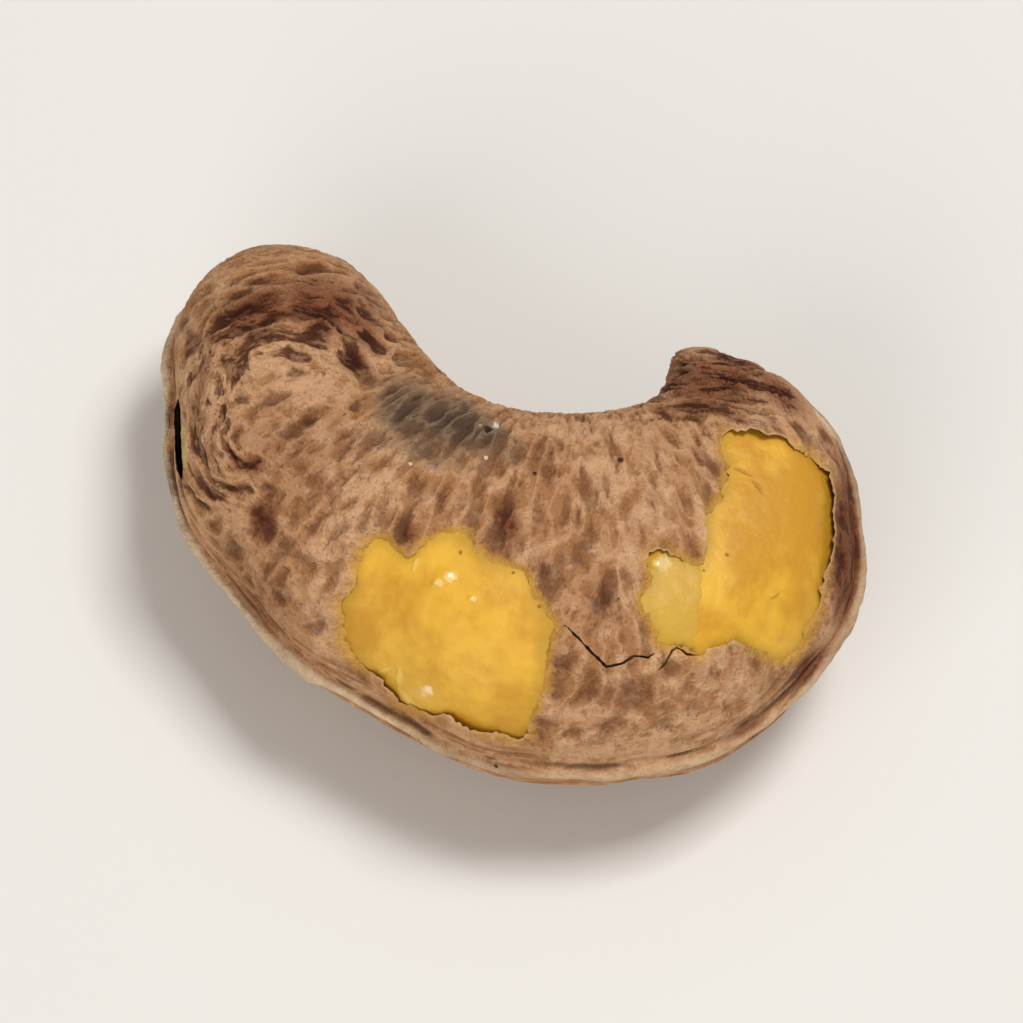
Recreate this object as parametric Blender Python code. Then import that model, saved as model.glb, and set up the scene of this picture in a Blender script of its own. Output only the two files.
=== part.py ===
"""A roasted cashew nut lying on its side, in metres, +Z up, at its real size.

It has two pieces. The kernel is solid. The skin is a thin shell round it, torn open in two
places on its upper side, with a seam ridge along its outer edge.
"""

from math import copysign, cos, exp, pi, radians, sin

import bmesh
import bpy
from mathutils import Vector

MM = 0.001

# The nut seen from above, in millimetres, from its round end to its hooked end. Each station
# crosses the nut: x and y of the outer edge, x and y of the inner edge, half the thickness,
# and how far the middle of that section stands above the nut's middle height.
ROUND_TIP = (-12.55, 8.85, -12.55, 8.85, 0.0, -0.4)
STATIONS = (
    (-14.15, 5.95, -8.75, 8.85, 4.0, -0.4),
    (-13.9, 2.45, -6.05, 7.0, 5.3, -0.4),
    (-12.15, -1.95, -4.15, 5.55, 5.7, -0.3),
    (-8.15, -5.65, -2.55, 4.65, 5.85, -0.1),
    (-3.15, -8.05, -0.75, 4.45, 6.0, 0.1),
    (2.45, -9.25, 0.95, 4.75, 6.2, 0.2),
    (7.95, -7.95, 2.45, 5.15, 6.2, 0.1),
    (12.25, -4.55, 3.75, 5.85, 6.0, -0.1),
    (14.15, 0.45, 4.55, 6.75, 5.7, -0.3),
    (13.45, 4.85, 4.8, 7.65, 5.1, -0.3),
    (10.05, 8.85, 4.6, 8.55, 3.7, -0.2),
)
HOOKED_TIP = (5.35, 9.75, 5.35, 9.75, 0.0, -0.1)
MIDDLE_HEIGHT = 6.25 * MM

# How square each section is: 2 is an ellipse, and more is fuller at the corners.
OUTER_SQUARENESS = 2.1
INNER_SQUARENESS = 2.7

SKIN_THICKNESS = 0.4 * MM
KERNEL_GAP = 0.3 * MM
RIDGE_HEIGHT = 0.45 * MM
RIDGE_WIDTH = 0.5 * MM
RIDGE_FADE = 3 * MM  # the ridge sinks away where half the section is narrower than this

# Slow swells of the surface, each with its height and its waves per millimetre along x, y and z.
SWELLS = (
    (0.10 * MM, (0.11, 0.04, 0.03), 0.15),
    (0.09 * MM, (-0.05, 0.12, 0.05), 0.60),
    (0.07 * MM, (0.09, -0.10, 0.08), 0.35),
)

# The underside swells down to the surface at three places, given in millimetres.
LOW_POINTS = ((-9.4, 2.6), (1.8, -4.2), (9.0, 3.6))
LOW_POINT_DROP = 0.8 * MM
LOW_POINT_RADIUS = 3.0 * MM

RINGS_PER_STATION = 4
POINTS_AROUND = 30
RIDGE_CROWDING = 0.2
FLANK_SPREAD = 0.2

# Each torn window is outlined in millimetres from the nut's middle, on a plane that leans
# towards the outer edge and turns a little towards the hooked end. It is cut square to that
# plane, down to a floor inside the hollow.
WINDOW_LEAN = radians(25)
WINDOW_TURN = radians(17.5)
WINDOW_TOP = 12 * MM
LEFT_WINDOW = (
    (-4.8, -0.3), (-4.4, -0.1), (-3.6, -0.5), (-3.3, -0.8), (-2.7, -0.5), (-1.9, 0.1), (-0.9, 0.1),
    (-0.6, -0.5), (0.3, -1.0), (1.3, -1.4), (1.6, -2.1), (2.4, -3.5), (2.2, -4.6), (1.9, -6.2),
    (1.5, -7.7), (0.9, -7.9), (-0.8, -7.6), (-1.6, -7.1), (-3.0, -6.8), (-3.7, -6.4), (-4.0, -5.7),
    (-5.0, -5.0), (-5.7, -4.2), (-5.8, -2.7), (-5.3, -1.9), (-5.0, -0.7),
)
LEFT_WINDOW_FLOOR = 1.2 * MM
RIGHT_WINDOW = (
    (9.0, 3.8), (9.7, 4.1), (10.6, 3.9), (11.5, 3.7), (12.6, 3.0), (13.2, 2.4), (13.3, 0.8),
    (13.2, -0.8), (12.8, -2.8), (12.3, -3.9), (11.7, -4.9), (10.8, -4.7), (9.9, -4.2), (9.3, -4.1),
    (8.5, -4.4), (8.1, -4.6), (7.4, -4.3), (6.4, -4.2), (6.3, -3.6), (5.8, -2.6), (6.2, -1.9),
    (6.0, -0.9), (6.5, -0.5), (7.2, -0.8), (8.0, -1.1), (8.3, -0.7), (8.2, 0.4), (8.7, 1.1),
    (9.2, 2.1), (9.4, 2.8), (9.1, 3.1),
)
RIGHT_WINDOW_FLOOR = -0.4 * MM

SKIN_COLOUR = (0.35, 0.18, 0.085)
SKIN_ROUGHNESS = 0.75
KERNEL_COLOUR = (0.73, 0.40, 0.055)
KERNEL_ROUGHNESS = 0.35


def clear_scene():
    for obj in list(bpy.data.objects):
        bpy.data.objects.remove(obj)


def mirrored(station):
    """The station with its edges exchanged, which carries the outline on past a tip."""
    outer_x, outer_y, inner_x, inner_y, half, lift = station
    return (inner_x, inner_y, outer_x, outer_y, -half, lift)


def between(a, b, c, d, share):
    """A smooth curve from b to c, for one number of four neighbouring stations."""
    bend = 2 * a - 5 * b + 4 * c - d
    twist = 3 * b - a - 3 * c + d
    return b + share * ((c - a) + share * (bend + share * twist)) / 2


def sections():
    """Every ring's section from tip to tip, without the tips themselves."""
    rows = (ROUND_TIP, *STATIONS, HOOKED_TIP)
    fenced = (mirrored(STATIONS[0]), *rows, mirrored(STATIONS[-1]))
    found = []
    for index in range(len(rows) - 1):
        four = fenced[index : index + 4]
        for step in range(RINGS_PER_STATION):
            share = step / RINGS_PER_STATION
            found.append([between(*column, share) * MM for column in zip(*four)])
    return found[1:]


def rounded(value, squareness):
    return copysign(abs(value) ** (2 / squareness), value)


def surface_point(section, turn, ridge_height):
    """A point on a section. A turn of 0 is at the outer edge and half a turn at the inner."""
    angle = 2 * pi * turn
    angle -= RIDGE_CROWDING * sin(angle) + FLANK_SPREAD * sin(2 * angle)
    squareness = OUTER_SQUARENESS if cos(angle) > 0 else INNER_SQUARENESS
    outer_x, outer_y, inner_x, inner_y, half, lift = section
    middle = Vector((outer_x + inner_x, outer_y + inner_y, 0)) / 2
    across = Vector((outer_x - inner_x, outer_y - inner_y, 0)) / 2
    rise = half * rounded(sin(angle), squareness)
    point = middle + across * rounded(cos(angle), squareness)
    if cos(angle) > 0:
        crest = ridge_height * exp(-((rise / RIDGE_WIDTH) ** 2))
        point += across.normalized() * crest * min(1, across.length / RIDGE_FADE)
    return point + Vector((0, 0, MIDDLE_HEIGHT + lift + rise))


def tip_point(tip):
    return Vector((tip[0] * MM, tip[1] * MM, MIDDLE_HEIGHT + tip[5] * MM))


def swell_at(point):
    """How far the uneven surface stands out at a point."""
    return sum(
        height * sin(2 * pi * (Vector(waves).dot(point) / MM + phase))
        for height, waves, phase in SWELLS
    )


def drop_at(point):
    """How far the underside hangs down at a point, for the low points that the nut rests on."""
    if point.z > MIDDLE_HEIGHT:
        return 0
    drop = 0
    for x, y in LOW_POINTS:
        away = Vector((point.x - x * MM, point.y - y * MM)).length
        drop += LOW_POINT_DROP * exp(-((away / LOW_POINT_RADIUS) ** 2))
    return drop * (1 - point.z / MIDDLE_HEIGHT)


def add_object(name, bm):
    mesh = bpy.data.meshes.new(name)
    bm.to_mesh(mesh)
    bm.free()
    obj = bpy.data.objects.new(name, mesh)
    bpy.context.scene.collection.objects.link(obj)
    return obj


def nut_form(name, depth, ridge_height=0.0):
    """The whole nut's closed surface, this far below the outside of its skin."""
    bm = bmesh.new()
    turns = [step / POINTS_AROUND for step in range(POINTS_AROUND)]
    rings = []
    for section in sections():
        rings.append([bm.verts.new(surface_point(section, turn, ridge_height)) for turn in turns])
    for ring, following in zip(rings, rings[1:]):
        for k in range(POINTS_AROUND):
            after = (k + 1) % POINTS_AROUND
            bm.faces.new((ring[k], ring[after], following[after], following[k]))
    for tip, ring in ((ROUND_TIP, rings[0]), (HOOKED_TIP, rings[-1])):
        point = bm.verts.new(tip_point(tip))
        for k in range(POINTS_AROUND):
            bm.faces.new((point, ring[k], ring[(k + 1) % POINTS_AROUND]))
    bmesh.ops.recalc_face_normals(bm, faces=bm.faces)
    bm.normal_update()
    for vert in bm.verts:
        out = vert.normal * (swell_at(vert.co) - depth)
        vert.co += out - Vector((0, 0, drop_at(vert.co)))
        vert.co.z = max(vert.co.z, depth)
    return add_object(name, bm)


def window_cutter(name, outline, floor):
    """A prism that cuts one torn window through the skin."""
    bm = bmesh.new()
    low = [bm.verts.new((x * MM, y * MM, floor)) for x, y in outline]
    face = bm.faces.new(low)
    grown = bmesh.ops.extrude_face_region(bm, geom=[face])["geom"]
    raised = [item for item in grown if isinstance(item, bmesh.types.BMVert)]
    bmesh.ops.translate(bm, verts=raised, vec=(0, 0, WINDOW_TOP - floor))
    bmesh.ops.recalc_face_normals(bm, faces=bm.faces)
    cutter = add_object(name, bm)
    cutter.location.z = MIDDLE_HEIGHT
    cutter.rotation_euler = (WINDOW_LEAN, 0, WINDOW_TURN)
    return cutter


def cut(obj, cutter):
    cutter.hide_render = True
    cutter.display_type = "WIRE"
    boolean = obj.modifiers.new("cut " + cutter.name, "BOOLEAN")
    boolean.operation = "DIFFERENCE"
    boolean.solver = "EXACT"
    boolean.object = cutter


def finish(obj, colour, roughness):
    """Smooth shading, and the material of one piece."""
    for polygon in obj.data.polygons:
        polygon.use_smooth = True
    material = bpy.data.materials.new(obj.name)
    material.use_nodes = True
    shader = material.node_tree.nodes["Principled BSDF"]
    shader.inputs["Base Color"].default_value = (*colour, 1)
    shader.inputs["Roughness"].default_value = roughness
    shader.inputs["Metallic"].default_value = 0
    obj.data.materials.append(material)


def main():
    clear_scene()
    skin = nut_form("skin", 0.0, RIDGE_HEIGHT)
    hollow = nut_form("hollow", SKIN_THICKNESS)
    kernel = nut_form("kernel", SKIN_THICKNESS + KERNEL_GAP)
    left = window_cutter("left window", LEFT_WINDOW, LEFT_WINDOW_FLOOR)
    right = window_cutter("right window", RIGHT_WINDOW, RIGHT_WINDOW_FLOOR)
    for cutter in (hollow, left, right):
        cut(skin, cutter)
    finish(skin, SKIN_COLOUR, SKIN_ROUGHNESS)
    finish(kernel, KERNEL_COLOUR, KERNEL_ROUGHNESS)


main()
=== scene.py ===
"""A roasted cashew nut in its torn skin, finished and lit.

Sizes are in millimetres and become metres where they reach a mesh or an object. The nut lies on
its side: x runs from its round end to its hooked end, y from its seam to its open curve, z is up.
"""

from math import cos, pi, radians, sin
from random import Random

import bpy
import numpy as np
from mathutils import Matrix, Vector, noise
from mathutils.kdtree import KDTree


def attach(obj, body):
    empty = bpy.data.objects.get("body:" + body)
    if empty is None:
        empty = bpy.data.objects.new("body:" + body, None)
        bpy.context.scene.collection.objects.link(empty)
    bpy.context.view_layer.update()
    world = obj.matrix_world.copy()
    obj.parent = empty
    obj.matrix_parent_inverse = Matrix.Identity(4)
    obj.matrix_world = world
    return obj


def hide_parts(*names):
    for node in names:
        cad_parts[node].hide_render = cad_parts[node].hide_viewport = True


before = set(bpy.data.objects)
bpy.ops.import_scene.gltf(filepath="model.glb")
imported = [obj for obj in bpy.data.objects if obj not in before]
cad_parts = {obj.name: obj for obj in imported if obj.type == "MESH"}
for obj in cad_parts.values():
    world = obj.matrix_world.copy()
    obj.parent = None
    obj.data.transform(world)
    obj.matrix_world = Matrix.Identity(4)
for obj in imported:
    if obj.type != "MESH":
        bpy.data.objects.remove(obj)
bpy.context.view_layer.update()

bl_info = {
    "name": "Roasted Cashew Nut",
    "version": (1, 0, 0),
    "blender": (4, 5, 0),
    "location": "3D Viewport > Sidebar > Cashew",
    "description": "Builds a roasted cashew nut in its torn skin, on a pale floor",
    "category": "Add Mesh",
}

MM = 0.001
FAR_OFF = 9.0  # stands for a distance that is out of a mark's reach

# The nut seen from above, from its round end to its hooked end. Each station crosses the nut:
# x and y of the outer edge, x and y of the inner edge, half the thickness, and how far the middle
# of that section stands above the nut's middle height.
ROUND_TIP = (-12.55, 8.85, -12.55, 8.85, 0.0, -0.4)
STATIONS = (
    (-14.15, 5.95, -8.75, 8.85, 4.0, -0.4),
    (-13.9, 2.45, -6.05, 7.0, 5.3, -0.4),
    (-12.15, -1.95, -4.15, 5.55, 5.7, -0.3),
    (-8.15, -5.65, -2.55, 4.65, 5.85, -0.1),
    (-3.15, -8.05, -0.75, 4.45, 6.0, 0.1),
    (2.45, -9.25, 0.95, 4.75, 6.2, 0.2),
    (7.95, -7.95, 2.45, 5.15, 6.2, 0.1),
    (12.25, -4.55, 3.75, 5.85, 6.0, -0.1),
    (14.15, 0.45, 4.55, 6.75, 5.7, -0.3),
    (13.45, 4.85, 4.8, 7.65, 5.1, -0.3),
    (10.05, 8.85, 4.6, 8.55, 3.7, -0.2),
)
HOOKED_TIP = (5.35, 9.75, 5.35, 9.75, 0.0, -0.1)
MIDDLE_HEIGHT = 6.25

# How square each section is: 2 is an ellipse, and more is fuller at the corners.
OUTER_SQUARENESS = 2.1
INNER_SQUARENESS = 2.7

# The seam ridge. A walk is how far along the surface a place is from the round tip.
RIDGE_WIDTH = 0.14
RIDGE_BROADER = 0.16  # how much wider it is in the middle of the outer edge
RIDGE_BROADEST = 23.0  # the walk to its widest place
RIDGE_BROAD_REACH = 6.5
RIDGE_SPLIT = 6.2  # the walk to where it stands off beside the split
RIDGE_SPLIT_REACH = 2.2
RIDGE_PALEST = 15.0  # the walk to its palest place
RIDGE_FADE = 3.0  # the ridge sinks away where half the section is narrower than this
GROOVE_DEPTH = 0.05
GROOVE_WIDTH = 0.14
GROOVE_AWAY = 0.42  # from the crest of the ridge to the middle of the groove beside it
SEAM_CLIMB = 1.2  # how far the seam climbs towards the face at the hooked end
SEAM_CLIMB_FROM = 7.8  # the station where it starts to climb
SEAM_CLIMB_OVER = 2.4  # the stations that it takes
SEAM_WANDER = 0.12

# The smooth band along the inner curve, with a low lip on each side and a crease down its middle.
BAND_HALF = 2.0
BAND_LIP = 0.22
BAND_LIP_WIDTH = 0.45
BAND_CREASE = 0.096
BAND_CREASE_WIDTH = 0.18
BEND_CREASE = 9.6  # the walk to the crease across the band
BEND_CREASE_WIDTH = 0.22
BEND_CREASE_BOW = 0.1

# How fine the wrinkles are along the nut, across it and up it, on the flanks and beside the seam,
# and how fine they are out from the middle of the streaks, round it and up it at the two ends.
FLANK_WRINKLES = (1.3, 0.55, 0.55)
END_WRINKLES = (1.7, 0.4, 0.4)
SEAM_WRINKLES = (0.3, 1.0, 1.4)
SEAM_REACH = (2.2, 5.0)  # how far from the seam they run along it, above it and below
WRINKLE_RANGE = (-0.7, 1.8)

# Slow swells of the surface, each with its height and its waves per millimetre along x, y and z.
SWELLS = (
    (0.10, (0.11, 0.04, 0.03), 0.15),
    (0.09, (-0.05, 0.12, 0.05), 0.60),
    (0.07, (0.09, -0.10, 0.08), 0.35),
)

# The underside swells down to the floor at three places.
LOW_POINTS = ((-9.4, 2.6), (1.8, -4.2), (9.0, 3.6))
LOW_POINT_DROP = 0.8
LOW_POINT_RADIUS = 3.0

# Rings along and points around each form, and how the points crowd towards the ridge.
SKIN_GRID = (286, 260)
HOLLOW_GRID = (110, 110)
KERNEL_GRID = (180, 180)
RIDGE_CROWDING = 0.2
FLANK_SPREAD = 0.2

# The face plane leans towards the outer edge and turns a little towards the hooked end. The torn
# windows, and the marks on this side of the nut, are placed on it from the nut's middle.
FACE_LEAN = radians(25)
FACE_TURN = radians(17.5)
FACE_RIGHT = np.array((cos(FACE_TURN), sin(FACE_TURN), 0.0))
FACE_UP = np.array((-sin(FACE_TURN) * cos(FACE_LEAN), cos(FACE_TURN) * cos(FACE_LEAN), sin(FACE_LEAN)))
FACE_OUT = np.array((sin(FACE_TURN) * sin(FACE_LEAN), -cos(FACE_TURN) * sin(FACE_LEAN), cos(FACE_LEAN)))
WINDOW_TOP = 12.0

LEFT_WINDOW = (
    (-4.8, -0.3), (-4.4, -0.1), (-4.0, -0.2), (-3.7, -0.5), (-3.3, -0.8), (-3.0, -0.7),
    (-2.8, -0.4), (-2.3, -0.1), (-1.9, 0.1), (-1.4, 0.2), (-1.0, 0.1), (-0.8, -0.1), (-0.6, -0.4),
    (-0.3, -0.8), (0.3, -1.0), (0.8, -1.2), (1.2, -1.3), (1.5, -1.6), (1.6, -2.0), (1.8, -2.4),
    (2.1, -2.9), (2.4, -3.5), (2.2, -4.0), (2.1, -4.5), (2.2, -5.0), (2.1, -5.6), (1.9, -6.2),
    (1.7, -6.7), (1.5, -7.2), (1.5, -7.7), (1.1, -7.9), (0.5, -7.7), (-0.8, -7.5), (-1.2, -7.2),
    (-1.6, -7.0), (-2.6, -6.9), (-3.0, -6.8), (-3.5, -6.6), (-3.9, -6.0), (-4.3, -5.5),
    (-5.0, -5.0), (-5.6, -4.5), (-5.8, -4.2), (-5.8, -2.5), (-5.3, -1.9), (-5.2, -1.0),
)
LEFT_WINDOW_FLOOR = 1.2
RIGHT_WINDOW = (
    (9.0, 3.8), (9.2, 4.1), (9.7, 4.1), (10.2, 4.1), (10.6, 3.9), (11.1, 3.9), (11.5, 3.8),
    (12.2, 3.3), (12.9, 2.8), (13.2, 2.5), (13.3, 1.9), (13.3, 0.5), (13.2, -0.8), (13.0, -1.4),
    (12.8, -2.7), (12.2, -3.9), (11.9, -4.5), (11.6, -4.8), (11.2, -4.9), (10.7, -4.6),
    (9.8, -4.2), (9.4, -4.0), (8.9, -4.2), (8.5, -4.3), (8.2, -4.6), (7.9, -4.5), (7.5, -4.3),
    (7.2, -4.2), (6.7, -4.2), (6.4, -4.1), (6.3, -3.6), (6.1, -3.1), (5.8, -2.6), (5.9, -2.2),
    (6.2, -1.9), (6.2, -1.4), (6.0, -0.9), (6.1, -0.6), (6.5, -0.5), (7.2, -0.8), (8.0, -1.1),
    (8.3, -0.9), (8.3, -0.1), (8.2, 0.4), (8.3, 0.8), (8.6, 1.2), (9.0, 1.7), (9.1, 2.2),
    (9.4, 2.8), (9.1, 3.1), (8.9, 3.5),
)
RIGHT_WINDOW_FLOOR = -0.4
CRACK = (
    (2.8, -3.33), (3.3, -3.85), (3.8, -4.37), (4.44, -5.01), (5.1, -4.86), (5.5, -4.6),
    (6.05, -4.66), (6.4, -4.4),
)
SHORT_CRACK = (
    (6.37, -5.18), (6.65, -4.96), (6.97, -4.44), (7.2, -4.3), (7.56, -4.56), (8.1, -4.62),
)
CRACK_WIDTH = 0.1
SEAM_SPLIT = (
    (-12.26, 5.4), (-12.32, 4.9), (-12.3, 4.3), (-12.24, 3.4), (-12.15, 2.6), (-12.08, 2.1),
)
SEAM_SPLIT_WIDTH = 0.32
SEAM_SPLIT_HEIGHT = -0.4  # above the nut's middle height

# The small tears along a torn edge, and how the edge lies.
TEAR_STEP = 0.16
TEAR_DEPTH = 0.07
CURL_REACH = 0.35  # how far in from the edge the skin curls up where it is lifted
SINK_REACH = 0.2  # and how far in it sinks to the kernel elsewhere
SINK = (0.1, 0.17)  # its outside sinks this far past its thickness, and its inside this far

# Marks on the face plane: x, y, half the length, half the width, the turn from x in degrees, and
# the strength.
STAIN = (
    (-1.4, 4.4, 2.2, 0.95, -28, 1.0), (-3.1, 4.8, 1.7, 1.2, -35, 0.9), (-2.4, 3.5, 2.3, 0.9, -15, 0.5),
    (-0.3, 3.9, 1.0, 0.6, -15, 1.0),
)
# Darker places of the skin. The broad ones along the top of the round end and over the cap are partly
# painted shadow.
DARK_AND_SHADOW_MARKS = (
    (-9.2, 8.8, 2.2, 1.2, 15, 1.0), (-6.6, 9.0, 2.6, 1.4, -15, 1.0), (-5.3, 6.7, 0.8, 0.45, -30, 1.0),
    (-8.7, 4.9, 0.5, 0.3, 50, 0.6), (-7.1, 4.4, 0.45, 0.3, 0, 0.8), (-9.1, 2.7, 0.55, 0.5, 80, 0.9),
    (-8.8, 0.5, 1.0, 0.6, -65, 1.0), (-6.2, 1.7, 0.7, 0.35, -80, 0.7), (-3.2, 0.1, 0.8, 0.45, -70, 0.8),
    (0.6, 0.5, 1.1, 0.6, -75, 1.0), (-2.0, 1.35, 0.4, 0.25, -70, 0.7), (4.3, -2.5, 1.0, 0.55, -70, 0.7),
    (2.7, -4.9, 0.7, 0.5, 0, 0.6), (4.6, -6.0, 1.3, 0.5, 10, 0.5), (12.4, -5.2, 1.4, 0.6, 45, 1.0),
    (8.6, 6.0, 2.6, 1.3, 0, 1.0), (11.2, 5.6, 1.6, 0.6, -40, 0.9), (13.8, -0.5, 0.75, 3.4, 0, 1.3),
    (2.0, -1.2, 0.8, 0.4, -75, 0.6), (-11.2, 6.2, 1.6, 0.3, 75, 0.7), (-10.9, 3.2, 1.8, 0.25, 88, 0.6),
    (9.3, 4.9, 0.9, 0.3, 10, 0.6), (5.5, 0.6, 0.9, 0.4, -60, 0.35), (-5.2, 8.2, 1.6, 0.8, -45, 0.9),
    (-10.6, 8.0, 1.6, 0.7, 40, 0.6), (-7.6, 3.4, 3.8, 3.2, 0, 0.42), (-9.0, -2.2, 2.6, 2.0, -30, 0.4),
    (13.05, 3.85, 0.55, 0.14, -50, 1.3),
)
# A painted sheen lies on the ridge at the hooked end, and the skin is thin enough beside the split to look
# yellow.
PAINTED_SHEEN = ((12.78, 4.5, 1.05, 0.28, -49, 1.0),)
SPLIT_FILM = ((-11.98, 3.5, 0.14, 1.1, 6, 1.0),)
# Paler places of the skin; the narrow mark at the left of the right window and the long one at the hooked
# end are painted highlight.
PALE_AND_HIGHLIGHT_MARKS = (
    (-7.2, 5.8, 0.8, 0.45, 0, 1.0), (-5.4, 5.8, 0.6, 0.5, -20, 0.5), (-6.6, 3.8, 0.6, 0.4, 0, 0.4),
    (4.7, 2.4, 1.2, 0.8, -20, 0.6), (4.0, 4.1, 3.2, 0.5, -2, 0.6), (-8.4, 7.2, 1.2, 0.25, 40, 0.6),
    (6.3, 1.3, 1.0, 0.8, 0, 0.4), (-4.4, 2.0, 1.2, 0.3, 30, 0.35), (7.3, -5.6, 0.7, 0.5, -30, 0.5),
    (10.0, -6.0, 1.2, 0.4, 10, 0.4), (5.9, -8.2, 2.5, 0.4, 8, 0.35),
    (8.12, 0.5, 0.22, 0.6, 0, 1.0), (12.6, 4.7, 1.2, 0.4, -50, 0.8), (11.0, 6.4, 0.5, 0.25, -40, 1.0),
)
# Where the kernel is roasted deeper; the mark along the bottom of the left window is painted shade.
ROAST_AND_SHADE_MARKS = (
    (11.5, 0.8, 2.2, 3.2, 0, 1.0), (1.0, -7.4, 1.8, 0.5, 0, 0.9), (-5.2, -3.7, 0.7, 1.0, 0, 0.9),
    (-4.0, -2.4, 1.0, 1.2, 0, 0.4), (10.4, 3.1, 0.7, 0.25, 0, 1.2), (10.2, 2.2, 0.8, 0.5, -50, 0.7),
)
# The pale flap at the left of the kernel's right window, and the x where it ends.
FLAP = (7.2, -2.4, 1.2, 1.9, 0, 1.0)
FLAP_END = 8.1
# Where a film of skin is left on the kernel inside a torn edge, and where the torn edges stand up
# from the kernel. Elsewhere they lie down on it and thin out.
FILM = (
    (13.2, -0.5, 0.45, 3.6, 0, 1.0), (-5.5, -2.5, 0.5, 1.6, 0, 0.7), (-1.0, 0.0, 1.2, 0.4, 0, 0.8),
    (1.9, -4.2, 0.5, 2.4, 0, 0.6), (-3.7, -6.0, 0.9, 0.45, -45, 0.5),
)
LIFTED = (
    (-4.2, -5.8, 1.0, 0.5, -50, 0.8), (-5.6, -2.2, 0.4, 0.8, 0, 0.5),
    (10.4, 4.1, 1.8, 0.7, -10, 1.0), (13.4, 0.5, 0.7, 3.5, 0, 1.0), (8.2, 0.2, 0.5, 0.9, 0, 1.0),
    (9.2, -4.3, 1.4, 0.5, 0, 0.8), (6.4, -0.6, 0.7, 0.4, 0, 0.9), (-1.2, -7.4, 1.6, 0.5, -12, 0.8),
    (1.2, -8.0, 0.8, 0.5, 0, 0.7), (-3.0, -0.6, 0.5, 0.5, 0, 0.5), (4.3, -4.8, 1.8, 0.6, 0, 0.5),
)
# Small round marks on the face plane: x, y and radius.
# The pinholes are painted dark, as shade in them.
PINHOLES = (
    (5.0, 2.93, 0.13), (1.7, 2.42, 0.08), (4.9, -2.4, 0.06), (0.2, -8.9, 0.09), (-0.14, 4.14, 0.15),
)
# Painted highlights on the lit rims of the pinholes: x, y and radius.
PINHOLE_HIGHLIGHTS = ((4.82, 3.0, 0.14), (-0.4, 4.3, 0.1), (0.1, -8.7, 0.1))
KERNEL_PITS = (
    (-1.17, -0.62, 0.09), (0.86, -1.4, 0.07), (1.85, -2.7, 0.07), (9.1, -0.72, 0.08),
    (8.2, -1.33, 0.05),
)
# Painted glints, on the skin and on the kernel: x, y and radius.
SKIN_PAINTED_GLINTS = ((0.2, 4.28, 0.17), (8.35, -4.3, 0.15), (-3.09, 2.8, 0.08), (-0.18, 3.02, 0.07))
KERNEL_PAINTED_GLINTS = (
    (-1.57, -1.56, 0.3), (-2.0, -1.77, 0.16), (-0.64, -2.39, 0.14), (6.55, -1.0, 0.42),
    (-2.46, -5.95, 0.28), (-2.42, -5.93, 0.15),
)
# Low round swellings that catch the light, on the skin and on the kernel: x, y and radius.
SKIN_SWELLINGS = (
    (0.06, 4.14, 0.25), (-3.0, 3.5, 0.2), (-11.6, 4.4, 0.2), (13.1, 4.4, 0.3), (12.8, 4.9, 0.25),
)
KERNEL_SWELLINGS = (
    (-1.84, -1.56, 0.6), (-2.2, -1.8, 0.25), (-0.8, -2.39, 0.22), (-2.7, -5.97, 0.45),
    (-4.3, -5.15, 0.25), (6.4, -1.0, 0.5),
)
SWELLING_HEIGHT = 0.24  # as a share of the radius
# Fine lines on the kernel, raised and sunk: x, y, half the length, half the width and the turn.
# The raised lines carry a painted highlight along them.
KERNEL_LINES = (
    (-3.55, -5.5, 0.6, 0.13, 85), (-2.9, -1.1, 0.35, 0.12, 80), (-3.2, -6.35, 0.7, 0.16, -48),
    (-4.1, -5.2, 0.4, 0.14, 20),
)
KERNEL_CREASES = (
    (10.33, 1.92, 0.42, 0.11, -58), (11.0, -2.33, 0.25, 0.08, 30), (9.75, 2.5, 0.5, 0.1, -25),
)

# Streaks run round a point of the round end, and level across the hooked end, where the cap is a
# mark on the face plane.
LOBE_MIDDLE = (-7.9, 4.7)
LOBE_REACH = 5.2
CAP = (8.8, 6.3, 3.6, 2.2, -8, 1.6)
CAP_FROM = 2.0  # the x on the face plane past which the cap's streaks take over

# How deep the finest relief of each material is.
SKIN_BUMP = 0.2
KERNEL_BUMP = 0.07

# The lights, in metres: the place, and the width of the square.
KEY_LIGHT = ((0.13, 0.12, 0.50), 0.16)
FILL_LIGHT = ((-0.10, -0.46, 0.30), 0.40)

NUT_MIDDLE = (0.8, 0.95)  # the nut's middle on the face plane
FRAME_WIDTH = 40.0  # what the camera takes in across the nut
SENSOR = 36.0


def srgb(red, green, blue):
    """A colour given as a screen shows it, from 0 to 255, as the linear colour that light uses."""
    return tuple(((level / 255 + 0.055) / 1.055) ** 2.4 for level in (red, green, blue))


# The skin's smaller colours.
DARK_AND_SHADOW_TINT = srgb(152, 102, 76)
BAND_TAN = srgb(196, 146, 98)
STAIN_VEIL = srgb(122, 102, 80)
STAIN_STRANDS = srgb(150, 124, 98)
DULL_RIM = srgb(200, 168, 133)
PALE_RIM = srgb(228, 206, 172)
PAINTED_SHEEN_COLOUR = srgb(228, 200, 170)
THIN_SKIN = srgb(200, 182, 100)
GROOVE_SHADE = srgb(60, 33, 18)
TORN_GOLD = srgb(204, 152, 60)
LIFTED_EDGE_HIGHLIGHT = srgb(214, 174, 128)
SKIN_GLINT_COLOUR = srgb(238, 224, 206)
PINHOLE_SHADE = srgb(38, 23, 15)
SPLIT_SHADE = srgb(30, 18, 12)
# The kernel's smaller colours.
LINE_HIGHLIGHT = srgb(242, 204, 108)
KERNEL_GLINT_COLOUR = srgb(255, 226, 166)
CREASE_BROWN = srgb(162, 98, 16)
CRACK_SHADE = srgb(52, 30, 14)
PIT_BROWN = srgb(132, 80, 16)
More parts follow.
